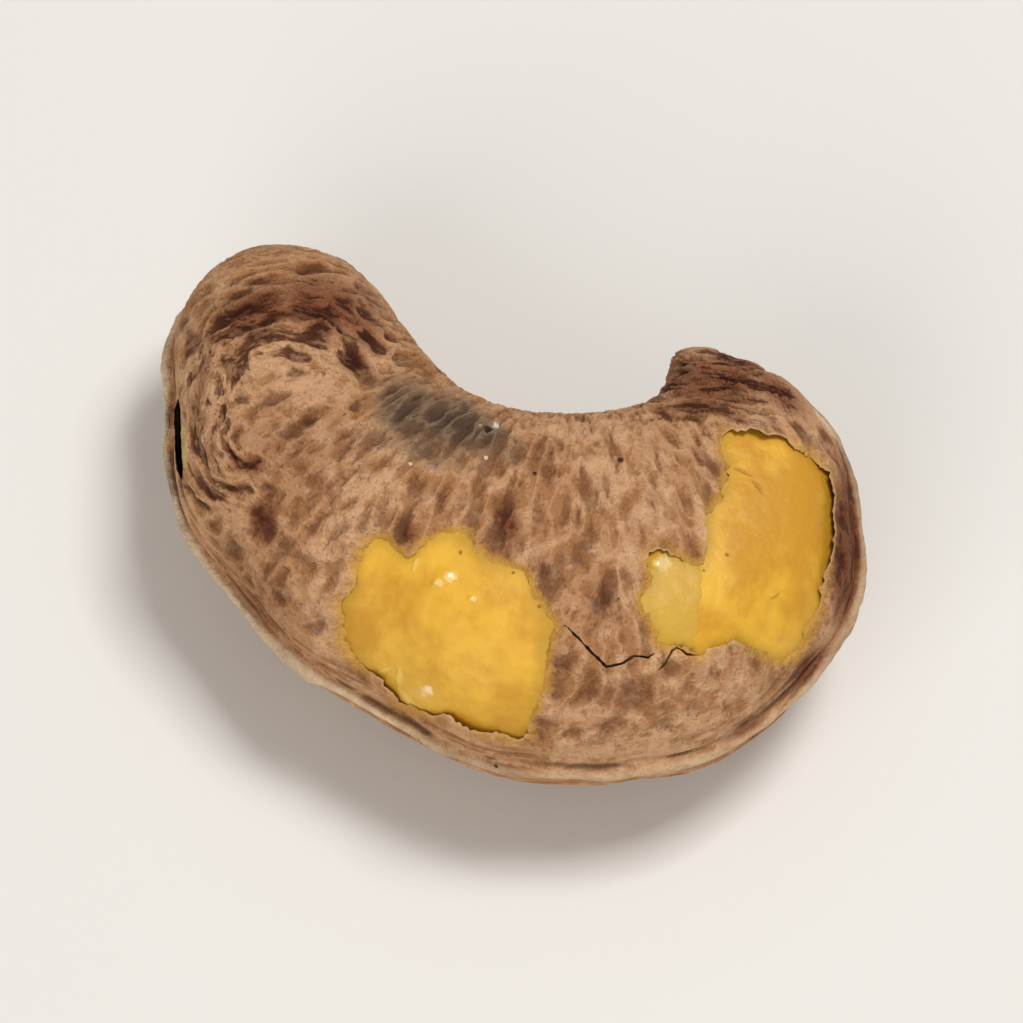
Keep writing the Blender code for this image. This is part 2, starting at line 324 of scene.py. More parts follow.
# The floor's darker places and the sky.
FLOOR_SHADE = srgb(214, 210, 203)
SKY_WHITE = srgb(242, 240, 236)


def number_property(name, description, default, unit="NONE", precision=2):
    return bpy.props.FloatProperty(
        name=name, description=description, default=default, unit=unit, precision=precision
    )


def length_property(name, description, default):
    return number_property(name, description, default * MM, "LENGTH", 5)


def colour_property(name, description, default):
    return bpy.props.FloatVectorProperty(
        name=name, description=description, default=default, subtype="COLOR", size=3, min=0, max=1
    )


class SkinSettings(bpy.types.PropertyGroup):
    """The sizes and colours of the skin."""

    thickness: length_property("Thickness", "Thickness of the skin", 0.15)
    ridge: length_property("Ridge", "Height of the seam ridge", 0.42)
    wrinkles: length_property("Wrinkles", "Height of the wrinkles", 0.16)
    lift: length_property("Lift", "How far torn edges curl up", 0.14)
    tan: colour_property("Tan", "The skin's main colour", srgb(168, 117, 75))
    sand: colour_property("Sand", "Its lighter places", srgb(209, 162, 121))
    rust: colour_property("Rust", "Its dark reddish flecks", srgb(86, 44, 22))
    soot: colour_property("Soot", "The dark stain by the inner curve", srgb(58, 46, 38))


class KernelSettings(bpy.types.PropertyGroup):
    """The sizes and colours of the kernel."""

    depth: length_property("Depth", "How far it lies under the skin's outside", 0.23)
    gold: colour_property("Gold", "The kernel's main colour", srgb(234, 180, 54))
    amber: colour_property("Amber", "Where it is roasted deeper", srgb(208, 148, 34))
    cream: colour_property("Cream", "Its palest places", srgb(206, 162, 58))
    olive: colour_property("Olive", "The film left along torn edges", srgb(170, 134, 34))


class StageSettings(bpy.types.PropertyGroup):
    """The floor, the lights and the camera."""

    floor: colour_property("Floor", "The floor's colour", srgb(234, 231, 225))
    key: number_property("Key", "Power of the main light", 1.75, "POWER")
    fill: number_property("Fill", "Power of the soft light from the front", 1.25, "POWER")
    sky: number_property("Sky", "Strength of the light from all round", 0.34)
    lens: number_property("Lens", "Focal length of the camera", 0.385, "CAMERA")


def select_only(obj):
    bpy.ops.object.select_all(action="DESELECT")
    obj.select_set(True)
    bpy.context.view_layer.objects.active = obj


def vectors_of(obj, field):
    """One vector for each of the piece's vertices."""
    found = np.empty(len(obj.data.vertices) * 3, np.float32)
    obj.data.vertices.foreach_get(field, found)
    return found.reshape(-1, 3).astype(float)


def points_of(obj):
    """The piece's vertices in millimetres."""
    return vectors_of(obj, "co") / MM


def place_points(obj, points):
    obj.data.vertices.foreach_set("co", (points * MM).astype(np.float32).ravel())
    obj.data.update()


def store(obj, **columns):
    """Keeps numbers or vectors on the vertices, by name, for the material to read."""
    for name, values in columns.items():
        kind, field = ("FLOAT_VECTOR", "vector") if values.ndim == 2 else ("FLOAT", "value")
        made = obj.data.attributes.new(name, kind, "POINT")
        made.data.foreach_set(field, values.astype(np.float32).ravel())


def grain(points, stretch, octaves, seed):
    """Smooth noise of about -1 to 1 at each point, finer along the axes that are stretched more."""
    shift = np.array((17.3, 5.1, 11.7)) * seed
    moved = points * np.array(stretch) + shift
    return np.array([noise.fractal(Vector(p), 1.0, 2.0, octaves) for p in moved])


def hump(away, reach):
    """A smooth hump, 1 in the middle, for an array of distances from it."""
    return np.exp(-((away / reach) ** 2))


def mirrored(station):
    """The station with its edges exchanged, which carries the outline on past a tip."""
    outer_x, outer_y, inner_x, inner_y, half, lift = station
    return (inner_x, inner_y, outer_x, outer_y, -half, lift)


def stations_at(along):
    """The section this many stations on from the round tip, for each of an array of places."""
    rows = np.array((mirrored(STATIONS[0]), ROUND_TIP, *STATIONS, HOOKED_TIP, mirrored(STATIONS[-1])))
    first = np.clip(along.astype(int), 0, len(STATIONS))
    share = (along - first)[:, None]
    a, b, c, d = (rows[first + step] for step in range(4))
    bend = 2 * a - 5 * b + 4 * c - d
    twist = 3 * b - a - 3 * c + d
    return b + share * (c - a + share * (bend + share * twist)) / 2


def even_rings(count):
    """Places of rings an even walk apart along the surface, tips included, and the walk to each."""
    fine = np.linspace(0, len(STATIONS) + 1, 4001)
    step = np.diff(stations_at(fine), axis=0)
    outer = np.hypot(step[:, 0], step[:, 1])
    inner = np.hypot(step[:, 2], step[:, 3])
    walk = np.concatenate(([0], np.cumsum(np.hypot((outer + inner) / 2, step[:, 4]))))
    even = np.linspace(0, walk[-1], count + 2)
    return np.interp(even, walk, fine), even


def rounded(value, squareness):
    return np.sign(value) * np.abs(value) ** (2 / squareness)


def along_only(values):
    """An array of places along one line, as points for the noise."""
    return np.column_stack((values, np.zeros_like(values), np.zeros_like(values)))


def seam_height(along, walk):
    """How far above the middle of each section the seam runs."""
    climb = np.clip((along - SEAM_CLIMB_FROM) / SEAM_CLIMB_OVER, 0, 1)
    wander = SEAM_WANDER * grain(along_only(walk), (0.35, 0, 0), 2, 1)
    return SEAM_CLIMB * climb * climb * (3 - 2 * climb) + wander


def ridge_width(walk):
    split = hump(walk - RIDGE_SPLIT, RIDGE_SPLIT_REACH)
    return RIDGE_WIDTH + RIDGE_BROADER * (hump(walk - RIDGE_BROADEST, RIDGE_BROAD_REACH) + 0.7 * split)


def ridge_at(away, walk, height):
    """How far the seam ridge and the grooves beside it stand out, this far from the seam."""
    swing = grain(along_only(walk), (0.8, 0, 0), 3, 2)
    width = ridge_width(walk)
    split = hump(walk - RIDGE_SPLIT, RIDGE_SPLIT_REACH)
    crest = height * (1 + 0.25 * swing + 0.5 * split) * hump(away, width)
    beside = np.abs(away) - GROOVE_AWAY - width + RIDGE_WIDTH
    return crest - GROOVE_DEPTH * (1 + 0.5 * swing) * hump(beside, GROOVE_WIDTH)


def nut_points(ring, turn, rings, ridge_height):
    """Points of the nut's outside, and the same points on the nut as if it were straightened."""
    places, walks = even_rings(rings)
    rows = stations_at(places)[ring]
    along, walk = places[ring], walks[ring]
    angle = 2 * pi * turn
    angle = angle - RIDGE_CROWDING * np.sin(angle) - FLANK_SPREAD * np.sin(2 * angle)
    squareness = np.where(np.cos(angle) > 0, OUTER_SQUARENESS, INNER_SQUARENESS)
    side = rounded(np.cos(angle), squareness)
    rise = rows[:, 4] * rounded(np.sin(angle), squareness)
    across = (rows[:, :2] - rows[:, 2:4]) / 2
    reach = np.linalg.norm(across, axis=1)
    plan = (rows[:, :2] + rows[:, 2:4]) / 2 + across * side[:, None]
    away = rise - seam_height(along, walk)
    if ridge_height:
        outward = across / np.maximum(reach, 1e-6)[:, None]
        fade = np.minimum(1, reach / RIDGE_FADE) * (np.cos(angle) > 0)
        plan += outward * (ridge_at(away, walk, ridge_height) * fade)[:, None]
    points = np.column_stack((plan, MIDDLE_HEIGHT + rows[:, 5] + rise))
    return points, np.column_stack((walk, reach * side, away))


def swell_at(points):
    return sum(
        height * np.sin(2 * pi * (points @ np.array(waves) + phase)) for height, waves, phase in SWELLS
    )


def drop_at(points):
    """How far the underside hangs down, for the low points that the nut rests on."""
    drop = np.zeros(len(points))
    for x, y in LOW_POINTS:
        away = np.hypot(points[:, 0] - x, points[:, 1] - y)
        drop += LOW_POINT_DROP * hump(away, LOW_POINT_RADIUS)
    return drop * np.clip(1 - points[:, 2] / MIDDLE_HEIGHT, 0, None)


def nut_form(name, grid, depth, ridge_height=0.0, relief=None):
    """The nut's closed surface this far below its outside, shaped from a sphere of many rings.

    Relief gives the heights at its points, in the first of its columns. The object comes back with
    its points on the straightened nut and those columns.
    """
    rings, around = grid
    bpy.ops.object.select_all(action="DESELECT")
    bpy.ops.mesh.primitive_uv_sphere_add(segments=around, ring_count=rings + 1, radius=1)
    obj = bpy.context.object
    obj.name = obj.data.name = name
    ball = points_of(obj) * MM
    ring = np.rint(np.arccos(np.clip(ball[:, 2], -1, 1)) / pi * (rings + 1)).astype(int)
    turn = np.rint(np.arctan2(ball[:, 1], ball[:, 0]) / (2 * pi) * around) / around
    points, straight = nut_points(ring, turn, rings, ridge_height)
    place_points(obj, points)
    heights = relief(points, straight) if relief else np.zeros((len(points), 1))
    out = swell_at(points) + heights[:, 0] - depth
    points += vectors_of(obj, "normal") * out[:, None]
    points[:, 2] -= drop_at(points)
    points[:, 2] = np.maximum(points[:, 2], depth)
    place_points(obj, points)
    return obj, straight, heights


def on_face(points):
    """Each point's x and y on the face plane, and how far in front of the nut's middle it is."""
    away = points - np.array((0, 0, MIDDLE_HEIGHT))
    return np.column_stack((away @ FACE_RIGHT, away @ FACE_UP)), away @ FACE_OUT


def marks_at(face, marks):
    """How strongly each point is covered by a list of oval marks."""
    cover = np.zeros(len(face))
    for x, y, length, width, turn, strength in marks:
        lean = radians(turn)
        away = face - np.array((x, y))
        along = away @ np.array((cos(lean), sin(lean))) / length
        across = away @ np.array((-sin(lean), cos(lean))) / width
        cover = np.maximum(cover, strength * np.exp(-(along**2 + across**2)))
    return cover


def ragged(outline, seed, depth=TEAR_DEPTH):
    """The closed outline with small tears between its corners."""
    draw = Random(seed)
    torn = []
    for start, end in zip(outline, outline[1:] + outline[:1]):
        a, b = Vector(start), Vector(end)
        pieces = max(1, round((b - a).length / TEAR_STEP))
        aside = Vector((a.y - b.y, b.x - a.x)).normalized()
        for piece in range(pieces):
            bite = draw.uniform(-depth, depth) if piece else 0.0
            torn.append(a.lerp(b, piece / pieces) + aside * bite)
    return torn


def slit(path, width):
    """A narrow closed outline along a path, pointed at both ends."""
    points = [Vector(p) for p in path]
    there, back = [points[0]], []
    for before, here, after in zip(points, points[1:], points[2:]):
        way = (after - before).normalized()
        aside = Vector((-way.y, way.x)) * width / 2
        there.append(here + aside)
        back.append(here - aside)
    return tuple(tuple(p) for p in (*there, points[-1], *reversed(back)))


def distance_to(outline, face):
    """The distance from each point on the face plane to a closed outline, and which are inside."""
    corners = np.array([tuple(p) for p in outline])
    nearest = np.full(len(face), np.inf)
    inside = np.zeros(len(face), bool)
    for a, b in zip(corners, np.roll(corners, -1, axis=0)):
        edge = b - a
        share = np.clip((face - a) @ edge / (edge @ edge), 0, 1)
        nearest = np.minimum(nearest, np.linalg.norm(face - a - share[:, None] * edge, axis=1))
        crosses = (a[1] > face[:, 1]) != (b[1] > face[:, 1])
        level = np.where(crosses, edge[1], 1)
        inside ^= crosses & (face[:, 0] < a[0] + edge[0] * (face[:, 1] - a[1]) / level)
    return nearest, inside


def nearest_points(points, whole):
    """For each point, the index of the nearest point of the whole form."""
    lookup = KDTree(len(whole))
    for index, point in enumerate(whole):
        lookup.insert(point, index)
    lookup.balance()
    return np.array([lookup.find(point)[1] for point in points])


def cut_through(obj, outline, floor):
    """Cuts a torn opening through the skin, square to the face plane, down to a floor.

    The floor is one depth, or a depth for each corner of the outline.
    """
    bpy.ops.object.select_all(action="DESELECT")
    bpy.ops.mesh.primitive_circle_add(vertices=len(outline), fill_type="NGON", radius=1)
    cutter = bpy.context.object
    flat = np.array([tuple(p) for p in outline])
    place_points(cutter, np.column_stack((flat, np.broadcast_to(floor, len(flat)))))
    bpy.ops.object.mode_set(mode="EDIT")
    bpy.ops.mesh.select_all(action="SELECT")
    rise = WINDOW_TOP * MM
    bpy.ops.mesh.extrude_region_move(TRANSFORM_OT_translate={"value": (0, 0, rise)})
    bpy.ops.mesh.select_all(action="SELECT")
    bpy.ops.mesh.normals_make_consistent(inside=False)
    bpy.ops.object.mode_set(mode="OBJECT")
    cutter.location.z = MIDDLE_HEIGHT * MM
    cutter.rotation_euler = (FACE_LEAN, 0, FACE_TURN)
    subtract(obj, cutter)


def subtract(obj, cutter):
    """Takes one closed object out of another, and removes it."""
    select_only(obj)
    boolean = obj.modifiers.new("cut", "BOOLEAN")
    boolean.operation = "DIFFERENCE"
    boolean.solver = "MANIFOLD"
    boolean.object = cutter
    bpy.ops.object.modifier_apply(modifier=boolean.name)
    bpy.data.objects.remove(cutter)


class Wire:
    """A node's output, whose sums with numbers and other outputs add Math nodes."""

    def __init__(self, bench, socket):
        self.bench = bench
        self.socket = socket

    def maths(self, operation, first, second):
        return self.bench.node("Math", {"operation": operation}, {0: first, 1: second})

    def __add__(self, other):
        return self.maths("ADD", self, other)

    def __radd__(self, other):
        return self.maths("ADD", other, self)

    def __sub__(self, other):
        return self.maths("SUBTRACT", self, other)

    def __rsub__(self, other):
        return self.maths("SUBTRACT", other, self)

    def __mul__(self, other):
        return self.maths("MULTIPLY", self, other)

    def __truediv__(self, other):
        return self.maths("DIVIDE", self, other)

    def __pow__(self, other):
        return self.maths("POWER", self, other)

    def __abs__(self):
        return self.maths("ABSOLUTE", self, 0)


class Bench:
    """One material and the nodes that are added to it."""

    def __init__(self, name):
        self.material = bpy.data.materials.new(name)
        self.material.use_nodes = True
        self.tree = self.material.node_tree
        self.shader = self.tree.nodes["Principled BSDF"]
        self.colour = None
        self.place = self.node("TexCoord", out="Object")
        scale = {"operation": "SCALE"}
        self.face = self.node("VectorMath", scale, {0: self.place, "Scale": 1 / MM})

    def plug(self, socket, value):
        if isinstance(value, Wire):
            self.tree.links.new(value.socket, socket)
        elif socket.type == "RGBA":
            socket.default_value = (*value, 1)
        else:
            socket.default_value = value

    def node(self, kind, settings=None, sockets=None, out=0):
        """Adds a node: its settings first, then the values or wires of its sockets."""
        made = self.tree.nodes.new("ShaderNode" + kind)
        for name, value in (settings or {}).items():
            setattr(made, name, value)
        for name, value in (sockets or {}).items():
            self.plug(made.inputs[name], value)
        return Wire(self, made.outputs[out])

    def stored(self, *names, out="Fac"):
        """The numbers or vectors that are kept on the vertices under these names."""
        return [self.node("Attribute", {"attribute_name": name}, out=out) for name in names]

    def axis(self, vector, name):
        return self.node("SeparateXYZ", None, {0: vector}, out=name)

    def stretched(self, vector, stretch):
        return self.node("VectorMath", {"operation": "MULTIPLY"}, {0: vector, 1: stretch})

    def noise(self, vector, scale, detail=3.0, roughness=0.55, distortion=0.0):
        return self.node("TexNoise", None, {
            "Vector": vector, "Scale": scale, "Detail": detail, "Roughness": roughness,
            "Distortion": distortion,
        })

    def step(self, value, low, high, bottom=0.0, top=1.0):
        """A smooth step of a value from bottom to top between low and high."""
        return self.node("MapRange", {"interpolation_type": "SMOOTHSTEP"}, {
            "Value": value, "From Min": low, "From Max": high, "To Min": bottom, "To Max": top,
        })

    def mix(self, share, first, second, blend="MIX"):
        """A mix of two colours."""
        settings = {"data_type": "RGBA", "blend_type": blend, "clamp_factor": True}
        return self.node("Mix", settings, {0: share, 6: first, 7: second}, out=2)

    def coat(self, share, paint, blend="MIX"):
        """Lays a paint over a share of the surface's colour."""
        self.colour = self.mix(share, self.colour, paint, blend)

    def along(self, axis):
        """How many millimetres from the nut's middle a place is, along an axis."""
        middle = float(axis[2] * MIDDLE_HEIGHT)
        dot = {"operation": "DOT_PRODUCT"}
        return self.node("VectorMath", dot, {0: self.face, 1: axis}, out="Value") - middle

    def away_from(self, x, y):
        """The distance in millimetres from a point on the face plane."""
        right, up = self.along(FACE_RIGHT) - x, self.along(FACE_UP) - y
        return (right * right + up * up) ** 0.5

    def spots(self, marks, fray):
        """Which places lie within any of a list of small round marks."""
        cover = 0.0
        for x, y, size in marks:
            cover = cover + self.step(self.away_from(x, y) + fray, size, 0.4 * size)
        return cover

    def domes(self, marks):
        """Where low round swellings are, and how many millimetres they stand up."""
        cover, height = 0.0, 0.0
        for x, y, size in marks:
            share = self.away_from(x, y) / size
            bulge = self.node("Math", {"operation": "MAXIMUM"}, {0: 1 - share * share, 1: 0.0})
            cover = cover + self.step(bulge, 0.1, 0.8)
            height = height + bulge * bulge * (SWELLING_HEIGHT * size)
        return cover, height

    def lines(self, marks, fray):
        """Short fine lines on the face plane."""
        cover = 0.0
        for x, y, length, width, turn in marks:
            right, up = self.along(FACE_RIGHT) - x + fray, self.along(FACE_UP) - y
            lean = radians(turn)
            ahead = (right * cos(lean) + up * sin(lean)) / length
            aside = (up * cos(lean) - right * sin(lean)) / width
            cover = cover + self.step(ahead * ahead + aside * aside, 1.0, 0.0)
        return cover

    def finish(self, roughness, height, strength, distance, constants):
        """Joins the surface's colour, roughness and bump to the shader."""
        normal = self.node("Bump", None, {
            "Strength": strength, "Distance": distance * MM, "Height": height,
        })
        self.plug(self.shader.inputs["Base Color"], self.colour)
        self.plug(self.shader.inputs["Roughness"], roughness)
        self.plug(self.shader.inputs["Normal"], normal)
        for name, value in constants.items():
            self.shader.inputs[name].default_value = value
        return self.material


def skin_material(look):
    """Dry, papery skin: tan with rusty pits, pale strands, a sooty stain and a pale seam, with painted
    shade and painted highlights in places.
    """
    bench = Bench("skin")
    straight, lobe = bench.stored("straight", "lobe", out="Vector")
    streaks, crease, belly, facing = bench.stored("streaks", "crease", "belly", "facing")
    dark, pale, stain, painted_sheen_mask, yellow = bench.stored("dark", "pale", "stain", "sheen", "film")
    seam, crest, torn, lifted, inside = bench.stored("seam", "crest", "torn", "lifted", "inside")
    walk, rise = bench.axis(straight, "X"), abs(bench.axis(straight, "Z"))

    broad = bench.noise(bench.face, 0.33, 2)
    cloudy = bench.noise(bench.face, 1.2, 3, 0.6)
    mottled = bench.noise(bench.face, 2.8, 3, 0.6)
    fine = bench.noise(bench.face, 7.0, 3, 0.65)
    patchy, uneven, gritty = cloudy - 0.5, mottled - 0.5, fine - 0.5
    beside = bench.step(seam, 2.4, 0.9)
    field = 0.0
    for share, places, stretch in (
        (1.0, straight, (3.0, 1.4, 1.4)),
        (streaks, lobe, (2.6, 0.7, 0.7)),
        (beside, straight, (0.4, 1.6, 2.2)),
    ):
        layer = bench.noise(bench.stretched(places, stretch), 1.0, 3, 0.6, 0.2)
        field = field + (layer - field) * share

    # Rusty pits sit in the hollows of the creases and pale strands along their crests: the skin's own
    # colours, and partly painted shade in the hollows and painted highlight on the crests.
    hollow = abs(crease) * 2.2 + uneven * 0.9 + gritty * 0.35
    strands = bench.step(hollow, 0.42, 0.05) * (1 - belly * 0.6)
    pits = bench.step(hollow + streaks * 0.12 + dark * 0.15 - pale * 0.3 - belly * 0.4, 0.6, 1.15)
    fleck = field + patchy * 0.3 + (hollow - 0.5) * 0.18 + dark * 0.1 - pale * 0.15 - belly * 0.06
    flecks = bench.step(fleck, 0.54, 0.64)
    sandy = bench.step(cloudy + (broad - 0.5) * 0.6 + pale * 0.35 + uneven * 0.4, 0.42, 0.72)

    bench.colour = bench.mix(sandy, look.tan, look.sand)
    bench.coat(flecks * (streaks * 0.38 + dark * 0.3 + 0.27), look.rust)
    bench.coat(pits * (streaks * 0.48 + 0.36), look.rust)
    bench.coat(strands * (streaks * 0.4 + 0.45), look.sand)
    fibres = bench.noise(bench.stretched(lobe, (4.5, 0.9, 0.9)), 1.0, 3, 0.6)
    bench.coat(bench.step(fibres, 0.5, 0.6) * streaks * 0.4, look.sand)
    specks = bench.step(fine + uneven * 0.5 + dark * 0.05, 0.57, 0.68) * (1 - belly * 0.7)
    bench.coat(specks * 0.4, look.rust)
    # Paler places of the skin, partly painted highlight.
    bench.coat(bench.step(pale, 0.15, 1.0) * 0.5, look.sand)
    # Darker places of the skin, partly painted shadow at the top of the round end and over the cap.
    bench.coat(bench.step(dark, 0.05, 1.0) * 0.85, DARK_AND_SHADOW_TINT, "MULTIPLY")

    band = bench.step(belly + patchy * 0.5, 0.3, 0.8)
    bench.coat(band * 0.5, BAND_TAN)
    middle = bench.step(rise + uneven * 0.3, 0.22, 0.05) * belly
    bent = abs(walk - BEND_CREASE + rise * rise * BEND_CREASE_BOW)
    bend = bench.step(bent + uneven * 0.3, 0.3, 0.05) * belly
    bench.coat((middle * 0.4 + bend * 0.6) * bench.step(cloudy, 0.35, 0.6), look.rust)
    bench.coat(bench.step(broad + patchy * 0.35, 0.6, 0.68) * (1 - facing) * 0.6, look.soot)

    sooty = bench.step(stain + patchy * 0.7 + (field - 0.5) * 0.5, 0.1, 0.9)
    swirl = bench.step(stain, 0.2, 0.8) * strands
    bench.coat(bench.step(stain + patchy * 0.6, 0.05, 0.6) * 0.35, STAIN_VEIL)
    bench.coat(sooty * 0.75, look.soot)
    bench.coat(swirl * 0.5, STAIN_STRANDS)

    broken = bench.noise(straight, 0.9, 2)
    rim = bench.step(crest + uneven * 0.4, 0.25, 0.75)
    chalky = bench.mix(bench.step(abs(walk - RIDGE_PALEST), 10.0, 5.0), DULL_RIM, PALE_RIM)
    bench.coat(rim * bench.step(broken, 0.35, 0.65, 0.5, 0.9), chalky)
    # Painted sheen on the ridge at the hooked end.
    bench.coat(bench.step(painted_sheen_mask + uneven * 0.4, 0.3, 0.65) * 0.8, PAINTED_SHEEN_COLOUR)
    bench.coat(bench.step(yellow + uneven * 0.3, 0.3, 0.7) * 0.6, THIN_SKIN)
    # Painted shade in the groove beside the ridge, broken along it.
    groove = bench.step(abs(seam - GROOVE_AWAY) + gritty * 0.12, 0.16, 0.02)
    bench.coat(groove * bench.step(broken, 0.42, 0.58) * 0.75, GROOVE_SHADE)
    bench.coat(bench.step(torn + gritty * 0.4 + uneven * 0.5, 0.42, 0.02) * (1 - lifted) * 0.85, TORN_GOLD)
    # Painted highlight along the torn edges that curl up.
    bench.coat(bench.step(torn + gritty * 0.1, 0.12, 0.03) * lifted * 0.7, LIFTED_EDGE_HIGHLIGHT)
    # Painted highlights on the rims of the pinholes.
    bench.coat(bench.spots(PINHOLE_HIGHLIGHTS, gritty * 0.2) * facing * 0.6, look.sand)
    # Painted glints on the skin.
    bench.coat(bench.spots(SKIN_PAINTED_GLINTS, gritty * 0.3) * facing * 0.8, SKIN_GLINT_COLOUR)
    # Painted shade in the pinholes.
    holes = bench.spots(PINHOLES, gritty * 0.25) * facing
    bench.coat(holes * 0.9, PINHOLE_SHADE)
    # The split's inner walls are painted dark, as shade inside the gap.
    bench.coat(inside * 0.95, SPLIT_SHADE)

    shade = (fine * 0.4 + mottled * 0.6) * 0.7 + 0.67
    grey = bench.node("CombineColor", None, {"Red": shade, "Green": shade, "Blue": shade})
    bench.coat(1.0, grey, "MULTIPLY")

    glossy, domes = bench.domes(SKIN_SWELLINGS)
    height = fine * 0.35 + mottled + fibres * streaks * 0.9 - holes * 0.8 + domes / SKIN_BUMP
    roughness = bench.step(fine - glossy * 2.0, -0.8, 0.7, 0.2, 0.8)
    return bench.finish(roughness, height, 1.0, SKIN_BUMP, {"Specular IOR Level": 0.22})


def kernel_material(look):
    """The roasted kernel: golden and a little oily, deeper where it roasted more, with painted glints,
    highlights and shade in places.
    """
    bench = Bench("kernel")
    edge, tab, deep, slits = bench.stored("edge", "tab", "deep", "slits")
    cloudy = bench.noise(bench.face, 0.55, 3)
    mottled = bench.noise(bench.face, 2.0, 2, 0.5)
    fine = bench.noise(bench.face, 9.0, 3, 0.6)
    uneven, gritty = mottled - 0.5, fine - 0.5
    pits = bench.spots(KERNEL_PITS, uneven * 0.1 + gritty * 0.1)
    lines = bench.lines(KERNEL_LINES, uneven * 0.3)
    glossy, domes = bench.domes(KERNEL_SWELLINGS)
    across = bench.along(FACE_RIGHT) + (cloudy - 0.5) * 0.8
    flap = bench.step(tab, 0.25, 0.45) * bench.step(across, FLAP_END + 0.04, FLAP_END - 0.06)

    # Amber where the kernel roasted deeper, and painted shade along the bottom of the left window.
    roast = bench.step(cloudy + uneven * 0.2 + deep * 0.35, 0.36, 0.78)
    bench.colour = bench.mix(roast, look.gold, look.amber)
    bench.coat(flap * bench.step(mottled, 0.1, 0.6, 0.4, 0.9), look.cream)
    bench.coat(bench.step(edge + uneven * 0.6 + gritty * 0.3, 0.55, -0.1) * 0.5, look.olive)
    bench.coat(bench.step(fine, 0.58, 0.8) * 0.3, look.cream)
    # Painted highlight along the raised lines.
    bench.coat(lines * 0.55, LINE_HIGHLIGHT)
    # Painted glints on the kernel.
    bench.coat(bench.spots(KERNEL_PAINTED_GLINTS, uneven * 0.4 + gritty * 0.35) * 0.55, KERNEL_GLINT_COLOUR)
    creases = bench.lines(KERNEL_CREASES, uneven * 0.3)
    bench.coat(creases * 0.45, CREASE_BROWN)
    # Painted shade on the kernel under the cracks and the split.
    bench.coat(slits * 0.95, CRACK_SHADE)
    bench.coat(pits * 0.7, PIT_BROWN)

    relief = (mottled * 0.8 + fine * 0.2) * (1 - glossy * 0.8) + cloudy * 2.0
    height = relief - pits * 0.6 + lines * 0.5 - creases * 0.5 + flap * 0.25 + domes / KERNEL_BUMP
    roughness = bench.step(mottled - glossy, -0.6, 0.7, 0.2, 0.55)
    return bench.finish(roughness, height, 1.0, KERNEL_BUMP, {
        "Subsurface Weight": 0.12, "Subsurface Radius": (1.0, 0.5, 0.15), "Subsurface Scale": 0.6 * MM,
        "Specular IOR Level": 0.4,
    })


def band_at(straight):
    """Where the smooth band of the inner curve is."""
    across = np.clip((BAND_HALF + 0.5 - np.abs(straight[:, 2])) / 0.8, 0, 1)
    return across * np.clip((-straight[:, 1] - 1.5) / 1.5, 0, 1)


def skin_relief(points, straight, wrinkles):
    """The height of the skin's relief, and its creases, which are 0 along a crest."""
    face, front = on_face(points)
    lobe, streaks = lobe_place(points, face)
    walk, aside = straight[:, 0], np.abs(straight[:, 2])
    creases = grain(straight, FLANK_WRINKLES, 4, 3)
    creases += (grain(lobe, END_WRINKLES, 4, 4) - creases) * streaks
    reach = np.where(straight[:, 2] > 0, *SEAM_REACH)
    beside = np.clip((reach - aside) / reach / 0.5, 0, 1) * (straight[:, 1] > 0)
    creases += (grain(straight, SEAM_WRINKLES, 3, 9) - creases) * beside
    lumps = grain(points, (0.45, 0.45, 0.45), 2, 5)
    band = band_at(straight)
    sharp = np.minimum(np.sqrt(creases**2 + 0.002), 0.7)
    strength = (1 - 0.7 * band) * (1 - 0.5 * beside) * (0.9 + 0.3 * streaks)
    strength *= 0.6 + 0.4 * np.clip((front + 2) / 3, 0, 1)
    heights = wrinkles * np.clip(0.5 * lumps + (1.1 - 3.0 * sharp) * strength, *WRINKLE_RANGE)
    lips = BAND_LIP * hump(aside - BAND_HALF, BAND_LIP_WIDTH)
    middle = hump(aside, BAND_CREASE_WIDTH)
    bend = hump(walk - BEND_CREASE + BEND_CREASE_BOW * aside**2, BEND_CREASE_WIDTH)
    return np.column_stack((heights + (lips - BAND_CREASE * np.maximum(middle, bend)) * band, creases))


def lobe_place(points, face):
    """Points as places across and along the streaks of the two ends, and where those streaks show."""
    away = face - np.array(LOBE_MIDDLE)
    reach = np.hypot(away[:, 0], away[:, 1]) + 0.4 * grain(points, (0.5, 0.5, 0.5), 3, 12)
    arc = np.arctan2(away[:, 0] + away[:, 1], away[:, 1] - away[:, 0]) * 4.0
    streaks = np.clip((reach - 1.0) / 1.5, 0, 1) * np.clip((LOBE_REACH + 1.5 - reach) / 2.5, 0, 1)
    streaks *= np.clip(1.1 - (away[:, 0] - away[:, 1]) / 3.2, 0, 1)
    lobe = np.column_stack((reach, arc, points[:, 2]))
    on_cap = face[:, 0] > CAP_FROM
    across = 1.5 * face[:, 1] + 0.06 * (face[:, 0] - 8) ** 2
    lobe[on_cap] = np.column_stack((across, face[:, 0], points[:, 2]))[on_cap]
    return lobe, np.where(on_cap, marks_at(face, (CAP,)).clip(0, 1), streaks)


